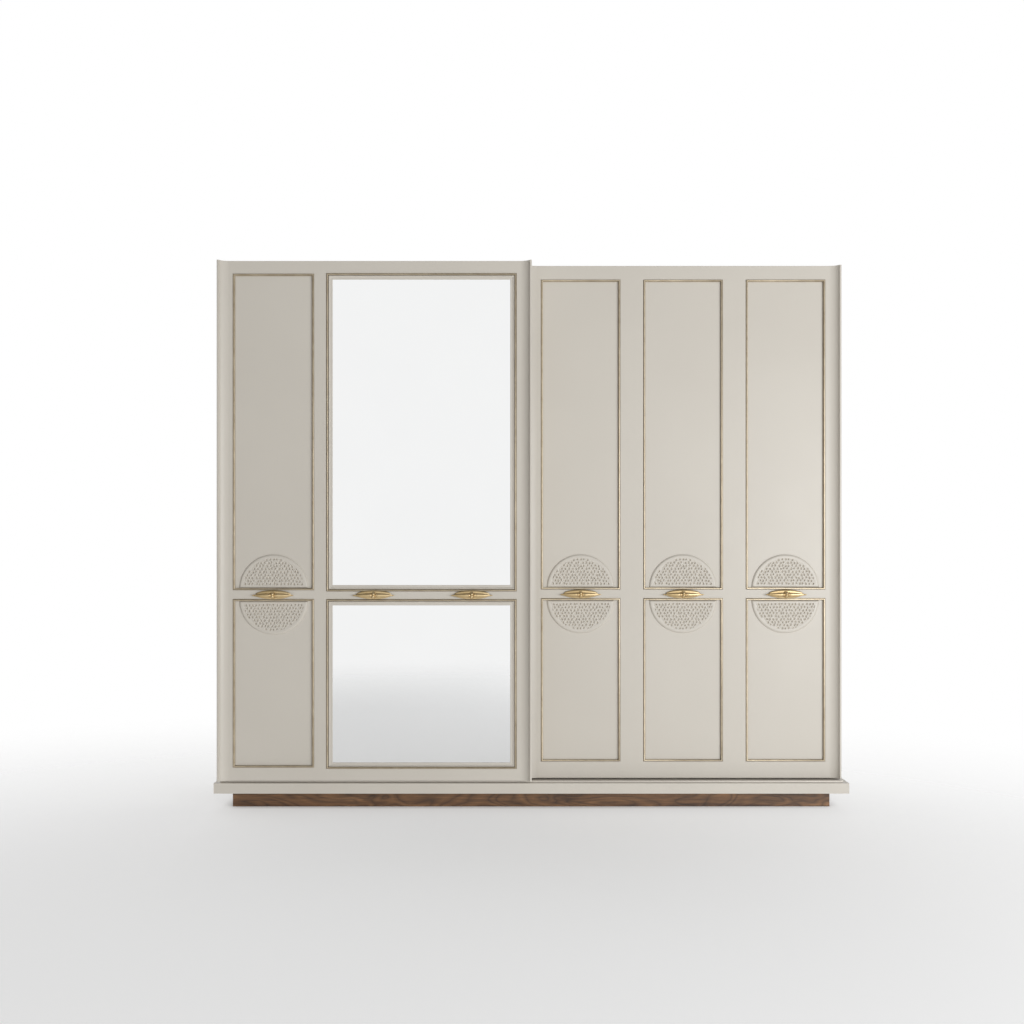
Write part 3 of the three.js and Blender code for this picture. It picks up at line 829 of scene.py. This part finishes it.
def handles():
    """Every handle shares one mesh, at the middle of its CAD node's back."""
    low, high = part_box("front_door_handle_1")
    mesh = handle_mesh(high - low)
    mesh.materials.append(GILT)
    finish_mesh(mesh, 40)
    for node in nodes_named("_handle_"):
        low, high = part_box(node)
        door = node.split("_handle_")[0]
        place = ((low.x + high.x) / 2, high.y, (low.z + high.z) / 2)
        piece = new_object(f"{node}_cast", mesh, place)
        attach(piece, door)
        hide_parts(node)


def build_doors():
    upper_mesh = medallion_mesh("medallion_upper", 11)
    lower_mesh = medallion_mesh("medallion_lower", 23)
    for mesh in (upper_mesh, lower_mesh):
        mesh.materials.append(CARVED_LACQUER)
        finish_mesh(mesh, 60)
    for door in DOORS:
        core_board(door)
        face_frame(door)
        for side in ("left", "right"):
            edge_pull(door, side)
        for node in nodes_named(door, "_trim_"):
            gilt_bead(door, node)
        for node in nodes_named(door, "_moulding_"):
            mirror_frame(door, node)
        for number, trim in enumerate(nodes_named(door, "_trim_upper"), start=1):
            medallions(door, number, trim, upper_mesh, lower_mesh)
    handles()


# ---- Running gear and hanging rods -----------------------------------------------------


def roller_profile(half, tread, flange, axle):
    """A grooved wheel with a raised hub; points are (along, radius), closed on itself."""
    groove = 2.5 * MM
    points = [(-half, axle), (-half, axle + 3 * MM), (-half + 1.5 * MM, axle + 4 * MM)]
    points += [(-half + 1.5 * MM, flange - 3 * MM), (-half, flange - 2 * MM)]
    points += arc((-half + 1 * MM, flange - 1 * MM), 1 * MM, 180, 90, 4)
    points += [(-groove - 0.6 * MM, flange), (-groove, tread + 1.2 * MM)]
    points += arc((-groove + 1.2 * MM, tread + 1.2 * MM), 1.2 * MM, 180, 270, 4)
    return points + [(-x, r) for x, r in reversed(points)]


def rollers():
    for node in nodes_named("_roller_"):
        low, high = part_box(node)
        centre = (low + high) / 2
        half = (high.y - low.y) / 2
        profile = roller_profile(half, ROLLER_TREAD, (high.z - low.z) / 2, ROLLER_AXLE)
        mesh = moved(turned(f"{node}_wheel", profile + profile[:1], "y", 64), centre)
        bodies = frame["record"]["behaviour"]["bodies"]
        body = next(name for name, group in bodies.items() if node in group)
        add_piece(f"{node}_turned", mesh, NYLON, body, [node])


def hanging_rods():
    for node in nodes_named("hanging_rod"):
        low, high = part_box(node)
        half = (high.x - low.x) / 2
        flange = (high.z - low.z) / 2
        points = [(-half, 0.0), (-half, flange - 0.5 * MM)]
        points += arc((-half + 2.5 * MM, flange - 2.5 * MM), 2.5 * MM, 135, 45, 5)
        points += [(-half + 5 * MM, flange - 6 * MM), (-half + 5 * MM, ROD_TUBE + 4 * MM)]
        points += arc((-half + 9 * MM, ROD_TUBE + 4 * MM), 4 * MM, 180, 270, 6)
        profile = points + [(-x, r) for x, r in reversed(points)]
        mesh = moved(turned(f"{node}_tube", profile, "x", 48), (low + high) / 2)
        add_piece(f"{node}_polished", mesh, ALUMINIUM, "carcass", [node])


def screw_mesh():
    """A pan head with a cross on its crown, which points to +y, and its underside on y = 0."""
    side = [(0, 0.0), (0, SCREW_RADIUS), (0.9 * MM, SCREW_RADIUS)]
    head = turned("head", side + [(1.9 * MM, 2.4 * MM), (SCREW_CROWN, 0.0)], "y", 24)
    shape = bmesh.new()
    shape.from_mesh(head)
    bpy.data.meshes.remove(head)
    for along, across in ((1.5 * MM, 0.35 * MM), (0.35 * MM, 1.5 * MM)):
        for vertex in bmesh.ops.create_cube(shape, size=2.0)["verts"]:
            x, y, z = vertex.co
            vertex.co = Vector((x * along, SCREW_CROWN + y * 0.12 * MM, z * across))
    mesh = mesh_from_bmesh("screw", shape)
    mesh.materials.append(STEEL)
    finish_mesh(mesh, 35)
    return mesh


def screws():
    """Pan heads that hold the hangers and guides to the doors' backs."""
    mesh = screw_mesh()
    # Half the distance between the columns of screws, and the rows' heights over the node's foot.
    layout = {"_hanger_": (18 * MM, (15 * MM, 40 * MM)), "_guide_": (15 * MM, (28 * MM, 42 * MM))}
    for kind, (half_pitch, heights) in layout.items():
        for node in nodes_named(kind):
            low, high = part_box(node)
            door = node.split(kind)[0]
            middle = (low.x + high.x) / 2
            count = 0
            for x in (middle - half_pitch, middle + half_pitch):
                for height in heights:
                    count += 1
                    place = (x, low.y + PLATE_METAL, low.z + height)
                    piece = new_object(f"{node}_screw_{count}", mesh, place)
                    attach(piece, door)


# ---- Finishes on the CAD nodes that stay ----------------------------------------------


def finish_node(node, material, radius):
    """A material, and softened edges unless the radius is 0."""
    piece = frame["nodes"][node]
    piece.data.materials.clear()
    piece.data.materials.append(material)
    if radius:
        bevel = piece.modifiers.new("soft_edges", "BEVEL")
        bevel.width = radius
        bevel.segments = 3
        bevel.limit_method = "ANGLE"
        bevel.angle_limit = math.radians(40)
        bevel.harden_normals = True


def finish_cad_nodes():
    finishes = {
        "base_board": (LACQUER, 2.5 * MM),
        "top_panel": (LACQUER, 1.0 * MM),
        "side_panel_left": (LACQUER, 1.0 * MM),
        "side_panel_right": (LACQUER, 1.0 * MM),
        "bottom_track": (ALUMINIUM, 0.25 * MM),
        "top_track": (ALUMINIUM, 0.25 * MM),
    }
    for end in ("front", "back"):
        finishes[f"plinth_{end}"] = (WALNUT_ALONG_X, 0.8 * MM)
    for end in ("left", "right", "center"):
        finishes[f"plinth_{end}"] = (WALNUT_ALONG_Y, 0.8 * MM)
    for node in nodes_named("center_partition") + nodes_named("shelf") + nodes_named("back_panel"):
        finishes[node] = (LAMINATE, 0.6 * MM)
    for node in nodes_named("_hanger_"):
        finishes[node] = (STEEL, 0.5 * MM)
    for node in nodes_named("_guide_"):
        finishes[node] = (NYLON, 0.8 * MM)
    for node in nodes_named("_mirror_"):
        finishes[node] = (MIRROR, 0.0)
    for node, (material, radius) in finishes.items():
        finish_node(node, material, radius)


# ---- Stage, light and camera -----------------------------------------------------------


def build_floor():
    """A pale floor that fades into the white surround away from the armoire; it glows as painted light,
    and the glow is darkened near the armoire into a painted contact shadow.
    """
    half = FLOOR_HALF
    outline = [(-half, -half, 0), (half, -half, 0), (half, half, 0), (-half, half, 0)]
    mesh = mesh_from("floor", outline, [(0, 1, 2, 3)])
    shader = Shader("studio_floor", FLOOR_COLOR, 0.8)
    shader.surface.inputs["Specular IOR Level"].default_value = 0.1
    # Painted contact shadow: the glow dims where ambient occlusion finds the armoire close to the
    # floor.
    contact = shader.crevice(CONTACT_SHADE, samples=16, only_local=False)
    painted_glow_and_contact_shadow = shader.ramp(contact, [(0.45, 0.0), (0.95, 1.0)])
    shader.join(painted_glow_and_contact_shadow, shader.surface.inputs["Emission Color"])
    shader.surface.inputs["Emission Strength"].default_value = FLOOR_GLOW
    coordinates = shader.node("TexCoord")
    from_middle = shader.node("VectorMath", operation="DISTANCE")
    shader.join(coordinates.outputs["Object"], from_middle.inputs[0])
    from_middle.inputs[1].default_value = FLOOR_MIDDLE
    fade = shader.node("MapRange", interpolation_type="SMOOTHSTEP")
    fade.inputs["From Min"].default_value = FLOOR_SOLID
    fade.inputs["From Max"].default_value = FLOOR_CLEAR
    shader.join(from_middle.outputs["Value"], fade.inputs["Value"])
    clear = shader.node("BsdfTransparent")
    mix = shader.node("MixShader")
    shader.join(fade.outputs["Result"], mix.inputs["Fac"])
    shader.join(shader.surface.outputs["BSDF"], mix.inputs[1])
    shader.join(clear.outputs["BSDF"], mix.inputs[2])
    shader.join(mix.outputs["Shader"], shader.tree.nodes["Material Output"].inputs["Surface"])
    mesh.materials.append(shader.material)
    floor = new_object("studio_floor", mesh)


def build_world():
    """A surround that looks white, with its light dimmed overhead and at both sides.

    The dimmed light gives the beads, lips and coves their dark side.
    """
    world = bpy.data.worlds.new("white_studio")
    bpy.context.scene.world = world
    world.use_nodes = True
    nodes, links = world.node_tree.nodes, world.node_tree.links
    background = nodes["Background"]
    background.inputs["Color"].default_value = (1.0, 1.0, 1.0, 1.0)
    direction = nodes.new("ShaderNodeTexCoord")

    def flag(towards, start, end, level):
        """1 away from a direction and level close to it; start and end are cosines."""
        nearness = nodes.new("ShaderNodeVectorMath")
        nearness.operation = "DOT_PRODUCT"
        nearness.inputs[1].default_value = Vector(towards).normalized()
        links.new(direction.outputs["Generated"], nearness.inputs[0])
        made = nodes.new("ShaderNodeMapRange")
        made.interpolation_type = "SMOOTHSTEP"
        made.inputs["From Min"].default_value = start
        made.inputs["From Max"].default_value = end
        made.inputs["To Min"].default_value = 1.0
        made.inputs["To Max"].default_value = level
        links.new(nearness.outputs["Value"], made.inputs["Value"])
        return made.outputs["Result"]

    def times(first, second):
        made = nodes.new("ShaderNodeMath")
        made.operation = "MULTIPLY"
        links.new(first, made.inputs[0])
        links.new(second, made.inputs[1])
        return made.outputs["Value"]

    overhead = flag((0.0, -0.42, 0.9), 0.66, 0.88, SKY_OVERHEAD)
    left = flag((-0.9, -0.42, 0.0), 0.62, 0.85, SKY_LEFT)
    right = flag((1.0, 0.0, 0.0), 0.46, 0.80, SKY_RIGHT)
    seen = nodes.new("ShaderNodeMath")
    seen.operation = "MAXIMUM"
    links.new(times(overhead, times(left, right)), seen.inputs[0])
    links.new(nodes.new("ShaderNodeLightPath").outputs["Is Camera Ray"], seen.inputs[1])
    links.new(seen.outputs["Value"], background.inputs["Strength"])


def build_key_light():
    """A large softbox to the right of the camera, at about its height."""
    data = bpy.data.lights.new("key_softbox", "AREA")
    data.shape = "RECTANGLE"
    data.size, data.size_y = KEY_SIZE
    data.energy = KEY_POWER
    data.color = KEY_COLOR
    light = new_object("key_softbox", data, KEY_PLACE)
    direction = Vector(KEY_TARGET) - Vector(KEY_PLACE)
    light.rotation_euler = direction.to_track_quat("-Z", "Y").to_euler()


def build_camera():
    """A level camera a little left of centre, shifted only as much as the framing needs."""
    data = bpy.data.cameras.new("camera")
    data.sensor_width = 36.0
    data.lens = LENS
    data.shift_y = LENS_SHIFT
    place = (CAMERA_X, face_of("front_door") - CAMERA_DISTANCE, CAMERA_HEIGHT)
    camera = new_object("camera", data, place)
    camera.rotation_euler = (math.pi / 2, 0.0, 0.0)
    bpy.context.scene.camera = camera


bpy.context.scene.view_settings.view_transform = "Standard"
build_camera()
build_doors()
rollers()
hanging_rods()
screws()
finish_cad_nodes()
build_floor()
build_world()
build_key_light()
